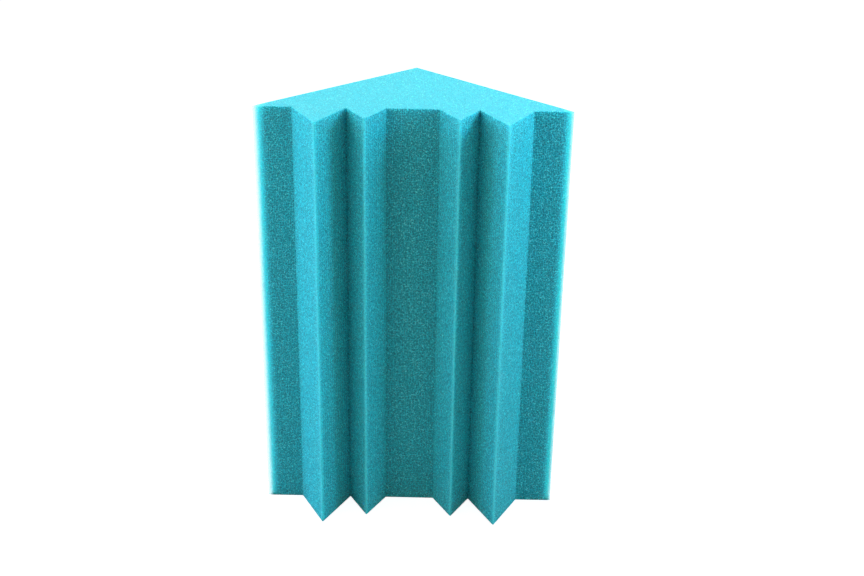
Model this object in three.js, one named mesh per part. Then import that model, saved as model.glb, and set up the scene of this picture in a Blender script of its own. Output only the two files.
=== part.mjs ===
// Corner bass trap: one upright block of open-cell foam for a room's corner.
//
// The block is a right-angled wedge. Its two plain back faces lie against two walls,
// and its front spans the corner with a profile cut along the whole height:
//
//   wing flat | outer rib | inner rib | centre flat | inner rib | outer rib | wing flat
//
// Millimetres, +Z up. The origin is the middle of the block's footprint, on the floor.
// The front looks along -Y, and the back corner points along +Y.

import * as THREE from "three";

// Overall height of the block, from cut end to cut end.
const HEIGHT = 610;

// Widths along the front plane, from a wing's tip to the middle.
const WING_FLAT_WIDTH = 53.5;
const OUTER_RIB_WIDTH = 72.5;
const INNER_RIB_WIDTH = 53.5;
const CENTRE_FLAT_WIDTH = 71;

// How far each rib's crest stands out of the front plane.
const OUTER_RIB_DEPTH = 67.5;
const INNER_RIB_DEPTH = 47;

// Foam can't hold a knife edge: each crest ends in a small round.
const CREST_RADIUS = 1.2;
const CREST_STEPS = 8;

// Look of the foam.
const FOAM_COLOUR = 0x3fc0d4;
const FOAM_ROUGHNESS = 0.95;
const FOAM_METALNESS = 0;

// The strips of the front, left to right. A flat strip has no depth, and a rib has one.
const wingFlat = { width: WING_FLAT_WIDTH, depth: 0 };
const outerRib = { width: OUTER_RIB_WIDTH, depth: OUTER_RIB_DEPTH };
const innerRib = { width: INNER_RIB_WIDTH, depth: INNER_RIB_DEPTH };
const centreFlat = { width: CENTRE_FLAT_WIDTH, depth: 0 };
const leftSide = [wingFlat, outerRib, innerRib];
const frontStrips = [...leftSide, centreFlat, ...leftSide.toReversed()];

// The front's width from tip to tip. In a right-angled corner the wedge is half as deep.
const frontWidth = frontStrips.reduce((sum, strip) => sum + strip.width, 0);
const tipX = frontWidth / 2;
const wedgeDepth = frontWidth / 2;
const tallestRib = Math.max(...frontStrips.map((strip) => strip.depth));

// The front plane, placed so that crests and back corner are as far from the origin.
const frontY = (tallestRib - wedgeDepth) / 2;
const backCornerY = frontY + wedgeDepth;

// Crests point along -Y.
const CREST_DIRECTION = -Math.PI / 2;

// Draws a rib's crest. The outline reaches it in a straight flank from the foot at footX,
// and both flanks touch the round of the crest.
function addCrest(outline, footX, rib) {
  const halfWidth = rib.width / 2;
  const roundDepth = rib.depth - CREST_RADIUS;
  const flankSlope =
    Math.atan2(roundDepth, halfWidth) +
    Math.asin(CREST_RADIUS / Math.hypot(halfWidth, roundDepth));
  outline.absarc(
    footX + halfWidth,
    frontY - roundDepth,
    CREST_RADIUS,
    CREST_DIRECTION - flankSlope,
    CREST_DIRECTION + flankSlope,
    false,
  );
}

// The block's plan outline, anticlockwise: the front from tip to tip, then the back corner.
function planOutline() {
  const outline = new THREE.Shape();
  let x = -tipX;
  outline.moveTo(x, frontY);
  for (const strip of frontStrips) {
    if (strip.depth > 0) addCrest(outline, x, strip);
    x += strip.width;
    outline.lineTo(x, frontY);
  }
  outline.lineTo(0, backCornerY);
  outline.closePath();
  return outline;
}

// The foam block: the plan outline, as tall as the block.
function foamBlock() {
  const geometry = new THREE.ExtrudeGeometry(planOutline(), {
    depth: HEIGHT,
    curveSegments: CREST_STEPS,
    bevelEnabled: false,
  });
  const foam = new THREE.MeshStandardMaterial({
    color: FOAM_COLOUR,
    roughness: FOAM_ROUGHNESS,
    metalness: FOAM_METALNESS,
  });
  const mesh = new THREE.Mesh(geometry, foam);
  mesh.name = "foam_block";
  return mesh;
}

const group = new THREE.Group();
group.add(foamBlock());

export default group;
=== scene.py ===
"""A corner bass trap of turquoise open-cell foam, standing on a white studio floor.

The block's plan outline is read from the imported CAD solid. Round it, this script makes a
fine mesh with softened cut edges and blade marks, gives it a foam material, and sets up
the camera and the soft light of the photograph. Lengths are in metres, +Z is up.
"""

import math

import bmesh
import bpy
from mathutils import Matrix, Vector, bvhtree, geometry, noise


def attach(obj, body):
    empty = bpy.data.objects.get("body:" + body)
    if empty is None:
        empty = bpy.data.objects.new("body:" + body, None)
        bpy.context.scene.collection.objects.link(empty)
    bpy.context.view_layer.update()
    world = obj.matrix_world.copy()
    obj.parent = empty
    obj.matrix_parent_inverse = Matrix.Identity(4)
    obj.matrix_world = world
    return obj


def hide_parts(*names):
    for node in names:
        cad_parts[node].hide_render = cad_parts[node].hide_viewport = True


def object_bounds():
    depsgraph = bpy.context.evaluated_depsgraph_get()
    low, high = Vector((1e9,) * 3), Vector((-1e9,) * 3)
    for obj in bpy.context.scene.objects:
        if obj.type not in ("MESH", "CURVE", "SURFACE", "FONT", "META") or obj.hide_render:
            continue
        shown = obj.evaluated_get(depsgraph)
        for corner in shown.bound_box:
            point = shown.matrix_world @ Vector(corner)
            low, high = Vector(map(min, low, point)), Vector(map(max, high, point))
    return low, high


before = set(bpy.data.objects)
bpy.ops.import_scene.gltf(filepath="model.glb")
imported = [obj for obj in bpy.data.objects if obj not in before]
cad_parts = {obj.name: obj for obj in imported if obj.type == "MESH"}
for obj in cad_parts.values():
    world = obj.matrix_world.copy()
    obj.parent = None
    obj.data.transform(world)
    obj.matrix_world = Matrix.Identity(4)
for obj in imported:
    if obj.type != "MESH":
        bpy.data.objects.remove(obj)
cad_low, cad_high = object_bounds()

MM = 0.001

# The camera of the photograph: where it stands, and how it is turned, in degrees.
CAMERA_PLACE = (38.0 * MM, -1725.1 * MM, 1095.6 * MM)
CAMERA_YAW = -0.304
CAMERA_PITCH_DOWN = 24.297
CAMERA_ROLL = 0.997
CAMERA_LENS_MM = 53.61
CAMERA_SENSOR_MM = 36

# Reading the CAD solid: points closer to each other than this are one, a face whose
# normal's z is below the second value looks down, and a side of the outline whose
# normal's y is above the third lies against a wall.
WELD_DISTANCE = 0.01 * MM
DOWNWARD = -0.99
BACKWARD = 0.5

# Fineness of the foam's mesh: along the outline, with extra points beside its corners,
# up the height, and across the ends, where the inner points keep a margin to the rim.
FRONT_STEP = 3.4 * MM
BACK_STEP = 4.8 * MM
CORNER_PLACES = (0.8 * MM, 1.8 * MM, 3.2 * MM, 5.2 * MM)
ROW_STEP = 3.4 * MM
END_STEP = 6.0 * MM
END_MARGIN = 2.0 * MM
END_PRECISION = 0.001 * MM

# A side of the outline that is shorter than this gets no points of its own.
LONG_SIDE = 3 * CORNER_PLACES[-1]

# Cut edges are softened: the back corner, the wings' sharp tips, the corners into which
# the cuts run, and the edges round the ends.
CORNER_RADIUS = 1.0 * MM
TIP_RADIUS = 0.65 * MM
VALLEY_RADIUS = 0.3 * MM
EDGE_RADIUS = 0.5 * MM
EDGE_STEPS = 3

# The outline turns by more than the first angle at a sharp corner, and by more than the
# second at a wing's tip. Faces that meet at more than the third are shaded as an edge.
CORNER_TURN = math.radians(30)
TIP_TURN = math.radians(120)
SHARP_ANGLE = math.radians(40)

# Unevenness of the cut faces: blade marks run along the height.
BLADE_MARK_DEPTH = 0.18 * MM
BLADE_MARK_WIDTH = 7.0 * MM
BLADE_MARK_LENGTH = 260.0 * MM
ROUGH_DEPTH = 0.12 * MM
ROUGH_WIDTH = 5.0 * MM
SWAY_DEPTH = 0.35 * MM
SWAY_WIDTH = 160.0 * MM

# Colours of the foam: of its middle tone, of its pores, whose dark hollows are partly painted
# shade, and of its struts, of the painted glow where light comes through thin foam and the
# wings' tips, of the painted light on the cut ends, and of the painted glints on a few grains.
FOAM_COLOUR = (0.015, 0.450, 0.525, 1)
PORE_SHADE_COLOUR = (0.010, 0.135, 0.180, 1)
STRUT_COLOUR = (0.060, 0.880, 0.950, 1)
PAINTED_GLOW_COLOUR = (0.150, 0.960, 0.990, 1)
PAINTED_END_LIGHT_COLOUR = (0.040, 0.610, 0.730, 1)
PAINTED_GLINT_COLOUR = (0.150, 0.980, 1.000, 1)
PAINTED_GLINT_SHARE = 0.05

# How much painted light, in a paler colour, shows on the cut ends, for strong light on the ends.
PAINTED_END_LIGHT_SHARE = 0.6

# Pores lie fairly evenly, and a finer grain without any order covers them.
PORE_SIZE = 2.4 * MM
PORE_UNEVENNESS = 0.6
GRAIN_SIZE = 1.1 * MM
GRAIN_UNEVENNESS = 1.0

# How far from its middle, in pore sizes, a pore's hollow ends and its strut begins.
HOLLOW_END = 0.1
STRUT_START = 0.65

# What pores and grain add to the tone, which runs from 0, dark, to 1, light, and the
# tone at which the foam has its own colour.
PORE_SHARE = 0.7
GRAIN_SHARE = 0.42
TONE_SHIFT = -0.08
MIDDLE_TONE = 0.5

# How strongly a pore's wall leans towards its middle, and how far each pore is tilted at
# random. A pore's random colour is spread evenly round the middle grey.
PORE_LEAN = 0.4
PORE_TILT = 0.4
MIDDLE_GREY = (0.5, 0.5, 0.5)

# The foam is matt, and all of the light that it scatters has gone through it.
ROUGHNESS = 0.85
SPECULAR_LEVEL = 0.5
LIGHT_THROUGH = 1.0

# How far light spreads in the body of the foam, and that distance's share for each of
# red, green and blue.
LIGHT_REACH = 8.0 * MM
REACH_SHARES = (0.30, 1.0, 1.15)

# Thin foam gets a painted, paler glow for light that comes through it, by a share that falls
# to about a third with each reach of thickness.
# The thickness is measured from just under the surface, straight inwards and aslant by
# the angles, in degrees. The last value is taken where no other side is found that way.
THIN_REACH = 2.7 * MM
THIN_ANGLES = (-50, 0, 50)
THIN_START = 0.1 * MM
NO_END = 1.0

# Each wing's tip glows with the light from behind, which spreads further there in the foam
# and is also painted into its colour as a paler glow, and its feather edge is see-through:
# how far inside the tip each begins, and where it is fullest, which lies beyond the tip for
# the feather edge. Both zones lie further in on the left wing, and further out on the right
# one, by the shift.
GLOW_START = 19.5 * MM
GLOW_FULL = 0.0 * MM
GLOW_REACH = 60.0 * MM
FEATHER_START = 8.8 * MM
FEATHER_FULL = -4.4 * MM
TIP_SHIFT = 2.0 * MM

WHITE = (1, 1, 1, 1)

# The floor looks white: beyond the far distance from the block's middle by itself, and
# within the near one where lamps reach it, which leaves room for the block's shadow.
FLOOR_HALF_WIDTH = 4.0
FLOOR_NEAR = 0.45
FLOOR_FAR = 1.3
FLOOR_NEAR_WHITE = 0.93
FLOOR_FAR_WHITE = 1.0
FLOOR_COLOUR = (0.35, 0.35, 0.35, 1)

# The world gives the object a little light, and the camera a white background.
WORLD_LIGHT = 0.1
WORLD_SEEN = 1.0

PLAIN_TINT = (1, 1, 1)
FRONT_TINT = (0.95, 1.0, 0.87)
SIDE_TINT = (0.35, 1.0, 1.42)
RIGHT_TINT = (0.35, 1.0, 1.15)

# The soft lamps. Each has a name, its place, the point that it faces, its width and
# height, its power in watts, and its tint.
LAMPS = (
    ("overhead", (0, 0.6, 2.1), (0, 0, 0.5), (1.4, 0.8), 18, PLAIN_TINT),
    ("front", (0, -2.2, 0.5), (0, 0, 0.3), (1.4, 0.8), 1.9, FRONT_TINT),
    ("left_front", (-1.3, -1.5, 1.0), (0, 0, 0.3), (0.8, 1.0), 5.3, FRONT_TINT),
    ("right_front", (1.3, -1.5, 1.0), (0, 0, 0.3), (0.8, 1.0), 3.5, FRONT_TINT),
    ("left_box", (-1.6, -0.5, 0.9), (0, 0, 0.4), (0.8, 1.4), 5.5, SIDE_TINT),
    ("right_box", (1.6, -0.5, 0.9), (0, 0, 0.4), (0.8, 1.4), 5.9, RIGHT_TINT),
    ("left_side", (-1.8, 0.1, 0.7), (0, 0, 0.3), (0.8, 1.2), 8.8, SIDE_TINT),
    ("right_side", (1.8, 0.1, 0.7), (0, 0, 0.3), (0.8, 1.2), 1.2, SIDE_TINT),
    ("left_high", (-0.75, -0.45, 1.15), (-0.1, -0.1, 0.5), (0.4, 0.4), 1.6, PLAIN_TINT),
    ("right_high", (0.7, -0.25, 0.95), (0.15, -0.1, 0.55), (0.3, 0.3), 2.3, SIDE_TINT),
    ("left_back", (-1.3, 1.1, 0.9), (0, 0, 0.4), (0.8, 1.4), 13, PLAIN_TINT),
    ("right_back", (1.3, 1.1, 0.9), (0, 0, 0.4), (0.8, 1.4), 13, PLAIN_TINT),
)


def add_to_scene(name, data):
    """A new object in the scene that holds the given mesh, lamp or camera."""
    thing = bpy.data.objects.new(name, data)
    bpy.context.scene.collection.objects.link(thing)
    return thing


# Plan outline

def plan_outline(cad_node):
    """The CAD solid's lower end as a loop of plan points, anticlockwise."""
    solid = bmesh.new()
    solid.from_mesh(cad_node.data)
    bmesh.ops.remove_doubles(solid, verts=solid.verts, dist=WELD_DISTANCE)
    solid.normal_update()
    under = {face for face in solid.faces if face.normal.z < DOWNWARD}
    following = {}
    for edge in solid.edges:
        sides = [face for face in edge.link_faces if face in under]
        if len(sides) == 1:
            corner = next(corner for corner in sides[0].loops if corner.edge == edge)
            following[corner.link_loop_next.vert.index] = corner.vert.index
    first = min(following)
    order = [first]
    index = following[first]
    while index != first:
        order.append(index)
        index = following[index]
    solid.verts.ensure_lookup_table()
    points = [solid.verts[i].co.xy.copy() for i in order]
    solid.free()
    return points


def turn_at(points, i):
    """The angle by which the outline turns at point i, positive at a convex corner."""
    before = points[i] - points[i - 1]
    after = points[(i + 1) % len(points)] - points[i]
    return math.atan2(before.x * after.y - before.y * after.x, before.dot(after))


def corner_radius(turn):
    """The radius that softens a corner at which the outline turns by the given angle."""
    if turn < 0:
        return VALLEY_RADIUS
    return TIP_RADIUS if turn > TIP_TURN else CORNER_RADIUS


def soften_corners(points):
    """Rounds each sharp corner of the outline, and keeps the rounds that it has."""
    rounded = []
    for i, point in enumerate(points):
        turn = turn_at(points, i)
        if abs(turn) < CORNER_TURN:
            rounded.append(point)
            continue
        radius = corner_radius(turn)
        before = (points[i - 1] - point).normalized()
        after = (points[(i + 1) % len(points)] - point).normalized()
        reach = radius * math.tan(abs(turn) / 2)
        centre_distance = radius / math.cos(turn / 2)
        centre = point + (before + after).normalized() * centre_distance
        first = point + before * reach - centre
        for step in range(EDGE_STEPS + 1):
            angle = turn * step / EDGE_STEPS
            rounded.append(centre + Matrix.Rotation(angle, 2) @ first)
    return rounded


def is_back(a, b):
    """True for a side of the outline that lies against a wall."""
    side = b - a
    outward = Vector((side.y, -side.x)).normalized()
    return outward.y > BACKWARD


def places_along(length, step):
    """Distances along a side at which it has points, closer to each other at both ends."""
    if length < LONG_SIDE:
        return [0.0]
    beside = CORNER_PLACES[-1]
    parts = math.ceil((length - 2 * beside) / step)
    between = [beside + (length - 2 * beside) * part / parts for part in range(1, parts)]
    return [0.0, *CORNER_PLACES, *between, *(length - place for place in reversed(CORNER_PLACES))]


def fill_in(points):
    """Adds points along the outline's long sides."""
    filled = []
    for i, a in enumerate(points):
        b = points[(i + 1) % len(points)]
        step = BACK_STEP if is_back(a, b) else FRONT_STEP
        direction = (b - a).normalized()
        filled += [a + direction * place for place in places_along((b - a).length, step)]
    return filled


def outward_at(points, i):
    """The direction in which the outline grows at point i."""
    before = (points[i] - points[i - 1]).normalized()
    after = (points[(i + 1) % len(points)] - points[i]).normalized()
    normal = Vector((before.y + after.y, -before.x - after.x)).normalized()
    return normal / normal.dot(Vector((after.y, -after.x)))


def shrunk(points, outward, distance):
    """The outline, with every side moved inwards by the distance."""
    return [point - out * distance for point, out in zip(points, outward)]


# Foam block

def unevenness(place, along):
    """How far a point of a cut face stands out, where along is its place on the outline."""
    marks = noise.noise(Vector((along / BLADE_MARK_WIDTH, place.z / BLADE_MARK_LENGTH, 0)))
    rough = noise.noise(place / ROUGH_WIDTH)
    sway = noise.noise(place / SWAY_WIDTH)
    return BLADE_MARK_DEPTH * marks + ROUGH_DEPTH * rough + SWAY_DEPTH * sway


def ring_levels(low, high):
    """(height, inset) of each ring of points, from the lower end to the upper one."""
    rounding = []
    for step in range(EDGE_STEPS + 1):
        angle = math.pi / 2 * step / EDGE_STEPS
        inset = EDGE_RADIUS * (1 - math.sin(angle))
        rise = EDGE_RADIUS * (1 - math.cos(angle))
        rounding.append((rise, inset))
    straight = high - low - 2 * EDGE_RADIUS
    rows = math.ceil(straight / ROW_STEP)
    middle = [(low + EDGE_RADIUS + straight * row / rows, 0.0) for row in range(1, rows)]
    lower = [(low + rise, inset) for rise, inset in rounding]
    upper = [(high - rise, inset) for rise, inset in reversed(rounding)]
    return lower + middle + upper


def distances_along(outline):
    """How far along the outline each of its points lies from the first one."""
    along = []
    travelled = 0.0
    for i, point in enumerate(outline):
        along.append(travelled)
        travelled += (outline[(i + 1) % len(outline)] - point).length
    return along


def side_rings(block, outline, outward):
    """The rings of points that make the block's sides, from the lower end to the upper one."""
    along = distances_along(outline)
    rings = []
    for height, inset in ring_levels(cad_low.z, cad_high.z):
        ring = []
        for i, point in enumerate(shrunk(outline, outward, inset)):
            place = Vector((point.x, point.y, height))
            rise = outward[i] * unevenness(place, along[i])
            ring.append(block.verts.new(place + rise.to_3d()))
        rings.append(ring)
    return rings


def is_inside(point, outline):
    """True if the outline goes round the point."""
    inside = False
    for i, a in enumerate(outline):
        b = outline[i - 1]
        if (a.y > point.y) != (b.y > point.y):
            if point.x < a.x + (b.x - a.x) * (point.y - a.y) / (b.y - a.y):
                inside = not inside
    return inside


def even_points(room):
    """Points inside the given outline, as the corners of even triangles."""
    left, right = min(p.x for p in room), max(p.x for p in room)
    y, back = min(p.y for p in room), max(p.y for p in room)
    inner = []
    start = left
    while y < back:
        x = start
        while x < right:
            if is_inside(Vector((x, y)), room):
                inner.append(Vector((x, y)))
            x += END_STEP
        y += END_STEP * math.sqrt(3) / 2
        start = left + END_STEP / 2 if start == left else left
    return inner


def faces_inside(faces, count):
    """The faces inside the rim, which goes anticlockwise round the first points."""
    rim = {(i, (i + 1) % count) for i in range(count)}
    beside = {}
    for face in faces:
        for edge in zip(face, face[1:] + face[:1]):
            beside[edge] = face
    inside = set()
    waiting = [beside[edge] for edge in rim]
    while waiting:
        face = waiting.pop()
        if face not in inside:
            inside.add(face)
            edges = set(zip(face, face[1:] + face[:1])) - rim
            waiting += [beside[b, a] for a, b in edges]
    return sorted(inside)


def end_pattern(outline, outward):
    """An even mesh for the block's ends: the points inside the outline, and the faces.

    A face's numbers count the outline's points first, and then the points inside.
    """
    inner = even_points(shrunk(outline, outward, END_MARGIN))
    count = len(outline)
    edges = [(i, (i + 1) % count) for i in range(count)]
    no_faces = []
    whole_hull = 0
    tell_origins = True
    _, _, faces, origins, _, _ = geometry.delaunay_2d_cdt(
        outline + inner, edges, no_faces, whole_hull, END_PRECISION, tell_origins
    )
    faces = [tuple(origins[i][0] for i in face) for face in faces]
    return inner, faces_inside(faces, count)


def cap_end(block, ring, pattern, height, facing_up):
    """Closes one end of the block with a fine, slightly uneven face."""
    inner, faces = pattern
    verts = list(ring)
    for point in inner:
        flat = Vector((point.x, point.y, height))
        sunk = ROUGH_DEPTH * (1 + noise.noise(flat / ROUGH_WIDTH))
        verts.append(block.verts.new(flat + Vector((0, 0, -sunk if facing_up else sunk))))
    for face in faces:
        corners = [verts[i] for i in face]
        block.faces.new(corners if facing_up else corners[::-1])


def foam_body(cad_node):
    """The foam block as one closed mesh, round the CAD solid's outline."""
    outline = fill_in(soften_corners(plan_outline(cad_node)))
    count = len(outline)
    outward = [outward_at(outline, i) for i in range(count)]

    block = bmesh.new()
    rings = side_rings(block, outline, outward)
    for lower, upper in zip(rings, rings[1:]):
        for i in range(count):
            j = (i + 1) % count
            block.faces.new((lower[i], lower[j], upper[j], upper[i]))
    pattern = end_pattern(shrunk(outline, outward, EDGE_RADIUS), outward)
    cap_end(block, rings[0], pattern, cad_low.z, facing_up=False)
    cap_end(block, rings[-1], pattern, cad_high.z, facing_up=True)
    for face in block.faces:
        face.smooth = True
    mesh = bpy.data.meshes.new("foam_body")
    block.to_mesh(mesh)
    block.free()
    mesh.set_sharp_from_angle(angle=SHARP_ANGLE)
    return mesh


def mark_painted_glow(mesh):
    """Stores the share of painted glow at each point, from how thin the foam behind it is: 1 at a
    feather edge, near 0 elsewhere.

    The thickness is the least of three, straight inwards and aslant to both sides.
    """
    body = bmesh.new()
    body.from_mesh(mesh)
    tree = bvhtree.BVHTree.FromBMesh(body)
    turns = [Matrix.Rotation(math.radians(angle), 3, "Z") for angle in THIN_ANGLES]
    painted_glow_mask = []
    for vert in body.verts:
        start = vert.co - vert.normal * THIN_START
        depths = [tree.ray_cast(start, turn @ -vert.normal)[3] for turn in turns]
        least = min(depth for depth in [*depths, NO_END] if depth is not None)
        painted_glow_mask.append(math.exp(-least / THIN_REACH))
    body.free()
    mesh.attributes.new("painted_glow_mask", "FLOAT", "POINT").data.foreach_set("value", painted_glow_mask)


# Shader nodes

def mix_colours(tree, factor, a, b):
    """A node that mixes colour b into colour a. Both may be a socket or a plain colour."""
    mix = tree.nodes.new("ShaderNodeMix")
    mix.data_type = "RGBA"
    tree.links.new(factor, mix.inputs["Factor"])
    for name, colour in (("A", a), ("B", b)):
        if isinstance(colour, tuple):
            mix.inputs[name].default_value = colour
        else:
            tree.links.new(colour, mix.inputs[name])
    return mix.outputs["Result"]


def vector_math(tree, operation, a, b=None, scale=None):
    """A vector math node. The first input is a socket, the second a socket or a vector."""
    node = tree.nodes.new("ShaderNodeVectorMath")
    node.operation = operation
    tree.links.new(a, node.inputs[0])
    if isinstance(b, tuple):
        node.inputs[1].default_value = b
    elif b is not None:
        tree.links.new(b, node.inputs[1])
    if scale is not None:
        node.inputs["Scale"].default_value = scale
    return node.outputs["Vector"]


def scalar_math(tree, operation, a, b=0):
    """A math node. Each input may be a socket or a plain number."""
    node = tree.nodes.new("ShaderNodeMath")
    node.operation = operation
    for i, value in enumerate((a, b)):
        if isinstance(value, (int, float)):
            node.inputs[i].default_value = value
        else:
            tree.links.new(value, node.inputs[i])
    return node.outputs["Value"]


def looked_at(tree):
    """1 for what the camera sees, itself or in a gloss or through glass, and else 0."""
    rays = tree.nodes.new("ShaderNodeLightPath")
    seen = rays.outputs["Is Camera Ray"]
    for name in ("Is Glossy Ray", "Is Transmission Ray"):
        seen = scalar_math(tree, "MAXIMUM", seen, rays.outputs[name])
    return seen


# Foam material

def foam_cells(tree, place, size, unevenness):
    """Cells of the given size that fill space, each round a point of its own."""
    cells = tree.nodes.new("ShaderNodeTexVoronoi")
    cells.inputs["Scale"].default_value = 1 / size
    cells.inputs["Randomness"].default_value = unevenness
    tree.links.new(place, cells.inputs["Vector"])
    return cells


def foam_tone(tree, pores, grain):
    """Dark in the pores' hollows, partly as painted shade, and light on the struts, with a grain
    of its own.
    """
    strut = tree.nodes.new("ShaderNodeMapRange")
    strut.inputs["From Min"].default_value = HOLLOW_END
    strut.inputs["From Max"].default_value = STRUT_START
    strut.inputs["To Min"].default_value = TONE_SHIFT
    strut.inputs["To Max"].default_value = TONE_SHIFT + PORE_SHARE
    tree.links.new(pores.outputs["Distance"], strut.inputs["Value"])
    fine = scalar_math(tree, "MULTIPLY", grain.outputs["Red"], GRAIN_SHARE)
    return scalar_math(tree, "ADD", strut.outputs["Result"], fine)


def painted_end_light_share(tree):
    """How much of the painted end light shows: its full share on the cut ends, and none on the
    sides.
    """
    facing = tree.nodes.new("ShaderNodeSeparateXYZ")
    surface = tree.nodes.new("ShaderNodeTexCoord")
    tree.links.new(surface.outputs["Normal"], facing.inputs["Vector"])
    upright = scalar_math(tree, "ABSOLUTE", facing.outputs["Z"])
    return scalar_math(tree, "MULTIPLY", upright, PAINTED_END_LIGHT_SHARE)


def wing_share(tree, place, start, full):
    """0 in the body of the foam, rising to 1 in both wings.

    It rises between the two distances, start and full, from the middle of the block.
    """
    parts = tree.nodes.new("ShaderNodeSeparateXYZ")
    tree.links.new(place, parts.inputs["Vector"])
    share = tree.nodes.new("ShaderNodeMapRange")
    share.interpolation_type = "SMOOTHSTEP"
    share.inputs["From Min"].default_value = start
    share.inputs["From Max"].default_value = full
    across = scalar_math(tree, "SUBTRACT", parts.outputs["X"], TIP_SHIFT)
    aside = scalar_math(tree, "ABSOLUTE", across)
    tree.links.new(aside, share.inputs["Value"])
    return share.outputs["Result"]


def foam_colour(tree, pores, grain, glow):
    """Pores, with painted shade in their hollows, and struts; painted light on the cut ends, a
    painted glow in thin foam and at the wings' tips, and a few painted glints.
    """
    ramp = tree.nodes.new("ShaderNodeValToRGB")
    # The pores' dark hollows are partly painted shade, and partly the foam's own random tone.
    ramp.color_ramp.elements[0].color = PORE_SHADE_COLOUR
    ramp.color_ramp.elements[1].color = STRUT_COLOUR
    middle = ramp.color_ramp.elements.new(MIDDLE_TONE)
    middle.color = FOAM_COLOUR
    tree.links.new(foam_tone(tree, pores, grain), ramp.inputs["Fac"])

    # Painted glow: thin foam and the wings' tips are painted paler, for light that comes through
    # them.
    painted_glow_mask = tree.nodes.new("ShaderNodeAttribute")
    painted_glow_mask.attribute_name = "painted_glow_mask"
    painted_glow_share = scalar_math(tree, "MAXIMUM", painted_glow_mask.outputs["Fac"], glow)
    # Painted light: the cut ends are painted paler, for strong light falling on them.
    with_painted_end_light = mix_colours(tree, painted_end_light_share(tree), ramp.outputs["Color"], PAINTED_END_LIGHT_COLOUR)
    body = mix_colours(tree, painted_glow_share, with_painted_end_light, PAINTED_GLOW_COLOUR)
    # Painted glints: a few grains are painted pale, for glints of light off the struts.
    painted_glint = scalar_math(tree, "LESS_THAN", grain.outputs["Green"], PAINTED_GLINT_SHARE)
    return mix_colours(tree, painted_glint, body, PAINTED_GLINT_COLOUR)


def foam_normal(tree, place, pores):
    """The surface's direction, leaning into each pore and tilted at random."""
    surface = tree.nodes.new("ShaderNodeNewGeometry")
    inwards = vector_math(tree, "SUBTRACT", pores.outputs["Position"], place)
    lean = vector_math(tree, "SCALE", inwards, scale=PORE_LEAN / PORE_SIZE)
    chance = vector_math(tree, "SUBTRACT", pores.outputs["Color"], MIDDLE_GREY)
    tilt = vector_math(tree, "SCALE", chance, scale=PORE_TILT)
    both = vector_math(tree, "ADD", lean, tilt)
    turned = vector_math(tree, "ADD", surface.outputs["Normal"], both)
    return vector_math(tree, "NORMALIZE", turned)


def foam_solidity(tree, place, tip, feathered):
    """1 in the body of the foam, falling to 0 along a feather edge.

    The inside of the surface, which shows only through a feather edge, is see-through.
    """
    side = tree.nodes.new("ShaderNodeNewGeometry")
    outside = scalar_math(tree, "SUBTRACT", 1, side.outputs["Backfacing"])
    if not feathered:
        return outside
    feather = wing_share(tree, place, tip - FEATHER_START, tip - FEATHER_FULL)
    solid = scalar_math(tree, "SUBTRACT", 1, feather)
    return scalar_math(tree, "MULTIPLY", solid, outside)


def foam_material(name, tip, feathered):
    """Pored foam that lets light through, for a block whose wings end at x = tip."""
    material = bpy.data.materials.new(name)
    material.use_nodes = True
    tree = material.node_tree
    links = tree.links
    shader = tree.nodes["Principled BSDF"]
    shader.inputs["Roughness"].default_value = ROUGHNESS
    shader.inputs["Specular IOR Level"].default_value = SPECULAR_LEVEL
    shader.inputs["Subsurface Weight"].default_value = LIGHT_THROUGH
    shader.inputs["Subsurface Radius"].default_value = REACH_SHARES

    place = tree.nodes.new("ShaderNodeTexCoord").outputs["Object"]
    pores = foam_cells(tree, place, PORE_SIZE, PORE_UNEVENNESS)
    grains = foam_cells(tree, place, GRAIN_SIZE, GRAIN_UNEVENNESS)
    grain = tree.nodes.new("ShaderNodeSeparateColor")
    links.new(grains.outputs["Color"], grain.inputs["Color"])

    # Light spreads further in the wings' tips, and the same share paints them paler as a painted
    # glow.
    glow = wing_share(tree, place, tip - GLOW_START, tip - GLOW_FULL)
    further = scalar_math(tree, "MULTIPLY", glow, GLOW_REACH - LIGHT_REACH)
    reach = scalar_math(tree, "ADD", further, LIGHT_REACH)
    links.new(reach, shader.inputs["Subsurface Scale"])
    links.new(foam_colour(tree, pores, grain, glow), shader.inputs["Base Color"])
    links.new(foam_normal(tree, place, pores), shader.inputs["Normal"])
    links.new(foam_solidity(tree, place, tip, feathered), shader.inputs["Alpha"])
    return material


def dress_in_foam(mesh, tip):
    """Gives the mesh its foam, and the feather edges of its wings a foam of their own."""
    mesh.materials.append(foam_material("foam", tip, feathered=False))
    mesh.materials.append(foam_material("foam_feather", tip, feathered=True))
    body_slot, feather_slot = range(len(mesh.materials))
    for face in mesh.polygons:
        furthest = max(abs(mesh.vertices[i].co.x - TIP_SHIFT) for i in face.vertices)
        in_feather = furthest > tip - FEATHER_START
        face.material_index = feather_slot if in_feather else body_slot


# Studio

def area_light(name, place, target, size, power, tint):
    """A soft rectangular lamp that stands at its place and faces the target."""
    lamp = bpy.data.lights.new(name, "AREA")
    lamp.shape = "RECTANGLE"
    lamp.size, lamp.size_y = size
    lamp.energy = power
    lamp.color = tint
    light = add_to_scene(name, lamp)
    light.location = place
    aim = Vector(target) - Vector(place)
    light.rotation_euler = aim.to_track_quat("-Z", "Y").to_euler()


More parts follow.
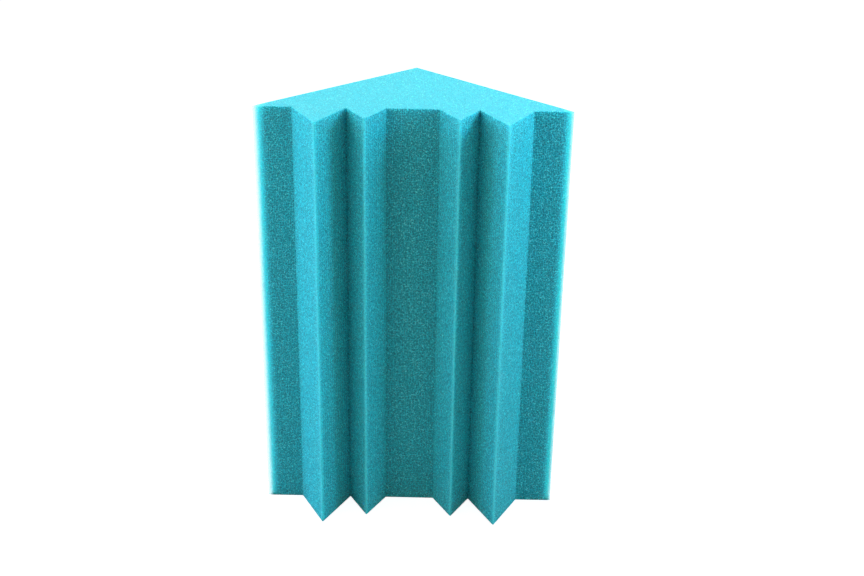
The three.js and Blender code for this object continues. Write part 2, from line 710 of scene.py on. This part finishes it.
def floor_whiteness(tree):
    """How white the camera sees the floor: a little less beside the block than far from it."""
    place = tree.nodes.new("ShaderNodeTexCoord")
    distance = tree.nodes.new("ShaderNodeVectorMath")
    distance.operation = "LENGTH"
    tree.links.new(place.outputs["Object"], distance.inputs[0])
    whiteness = tree.nodes.new("ShaderNodeMapRange")
    whiteness.interpolation_type = "SMOOTHSTEP"
    whiteness.inputs["From Min"].default_value = FLOOR_NEAR
    whiteness.inputs["From Max"].default_value = FLOOR_FAR
    whiteness.inputs["To Min"].default_value = FLOOR_NEAR_WHITE
    whiteness.inputs["To Max"].default_value = FLOOR_FAR_WHITE
    tree.links.new(distance.outputs["Value"], whiteness.inputs["Value"])
    return whiteness.outputs["Result"]


def floor_material():
    """Grey under the lamps, with a white glow of its own for what the camera looks at."""
    material = bpy.data.materials.new("floor")
    material.use_nodes = True
    tree = material.node_tree
    nodes, links = tree.nodes, tree.links
    nodes.clear()
    output = nodes.new("ShaderNodeOutputMaterial")
    matt = nodes.new("ShaderNodeBsdfDiffuse")
    matt.inputs["Color"].default_value = FLOOR_COLOUR
    glow = nodes.new("ShaderNodeEmission")
    glow.inputs["Color"].default_value = WHITE
    strength = scalar_math(tree, "MULTIPLY", looked_at(tree), floor_whiteness(tree))
    links.new(strength, glow.inputs["Strength"])
    both = nodes.new("ShaderNodeAddShader")
    links.new(matt.outputs["BSDF"], both.inputs[0])
    links.new(glow.outputs["Emission"], both.inputs[1])
    links.new(both.outputs["Shader"], output.inputs["Surface"])
    return material


def studio_floor():
    """A wide, flat floor at the height on which the block stands."""
    half = FLOOR_HALF_WIDTH
    corners = [(-half, -half, 0), (half, -half, 0), (half, half, 0), (-half, half, 0)]
    mesh = bpy.data.meshes.new("floor")
    mesh.from_pydata(corners, [], [(0, 1, 2, 3)])
    mesh.materials.append(floor_material())
    add_to_scene("floor", mesh)


def studio_world():
    """A world that the camera sees as white, and that lights the object only a little."""
    world = bpy.data.worlds.new("studio")
    bpy.context.scene.world = world
    world.use_nodes = True
    nodes, links = world.node_tree.nodes, world.node_tree.links
    background = nodes["Background"]
    background.inputs["Color"].default_value = WHITE
    strength = nodes.new("ShaderNodeMapRange")
    strength.inputs["To Min"].default_value = WORLD_LIGHT
    strength.inputs["To Max"].default_value = WORLD_SEEN
    links.new(looked_at(world.node_tree), strength.inputs["Value"])
    links.new(strength.outputs["Result"], background.inputs["Strength"])


def photo_camera():
    """A camera that stands and looks as the photograph's did."""
    lens = bpy.data.cameras.new("camera")
    lens.sensor_width = CAMERA_SENSOR_MM
    lens.lens = CAMERA_LENS_MM
    camera = add_to_scene("camera", lens)
    turn = (
        Matrix.Rotation(math.radians(-CAMERA_YAW), 4, "Z")
        @ Matrix.Rotation(math.radians(90 - CAMERA_PITCH_DOWN), 4, "X")
        @ Matrix.Rotation(math.radians(CAMERA_ROLL), 4, "Z")
    )
    camera.matrix_world = Matrix.Translation(CAMERA_PLACE) @ turn
    bpy.context.scene.camera = camera


# Scene

bpy.context.scene.view_settings.view_transform = "Standard"
photo_camera()
studio_world()
studio_floor()

foam_mesh = foam_body(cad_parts["foam_block"])
mark_painted_glow(foam_mesh)
dress_in_foam(foam_mesh, cad_high.x)
foam = add_to_scene("foam_body", foam_mesh)
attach(foam, "root")
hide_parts("foam_block")

for lamp in LAMPS:
    area_light(*lamp)
